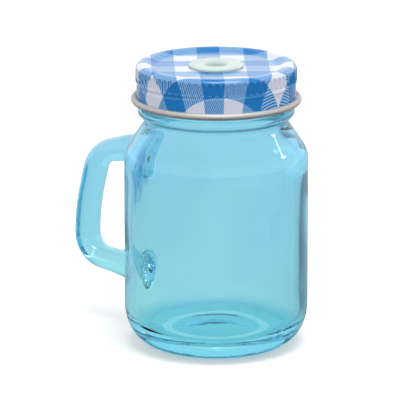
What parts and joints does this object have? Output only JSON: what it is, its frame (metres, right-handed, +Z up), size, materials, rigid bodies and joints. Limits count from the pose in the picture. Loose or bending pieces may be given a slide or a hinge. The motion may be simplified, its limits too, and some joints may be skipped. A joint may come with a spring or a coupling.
{
  "type": "mason jar mug",
  "caption": "Small tinted glass mason jar with an ear handle and a one-piece screw lid with a soft straw grommet.",
  "frame": {"origin": "on the jar's axis, on the plane that the jar stands on", "axes": "+Z up along the jar's axis, the handle points along -X"},
  "size_m": [0.0823, 0.0564, 0.0882],
  "materials": {
    "tinted_glass": "blue tinted soda glass, fire-polished",
    "printed_tinplate": "gloss varnish over a blue and white check print",
    "bare_tinplate": "satin tin",
    "liner_compound": "matt off-white sealing compound",
    "clear_silicone": "milky translucent silicone"
  },
  "bodies": {
    "jar": {"jar_body": "tinted_glass", "ear_handle": "tinted_glass"},
    "liner": {"sealing_liner": "liner_compound"},
    "lid": {"lid_shell": "printed_tinplate", "lid_curl": "bare_tinplate", "straw_grommet": "clear_silicone"}
  },
  "joints": [
    {"name": "lid_rise", "type": "slide", "parent": "jar", "child": "liner", "axis": [0, 0, 1], "range_m": [0, 0.01271]},
    {"name": "lid_turn", "type": "hinge", "parent": "liner", "child": "lid", "pos_m": [0, 0, 0.087], "axis": [0, 0, 1], "range_deg": [0, 1080]}
  ],
  "couplings": [
    {"joint": "lid_rise", "follows": "lid_turn", "m_per_rad": 0.00067376}
  ]
}
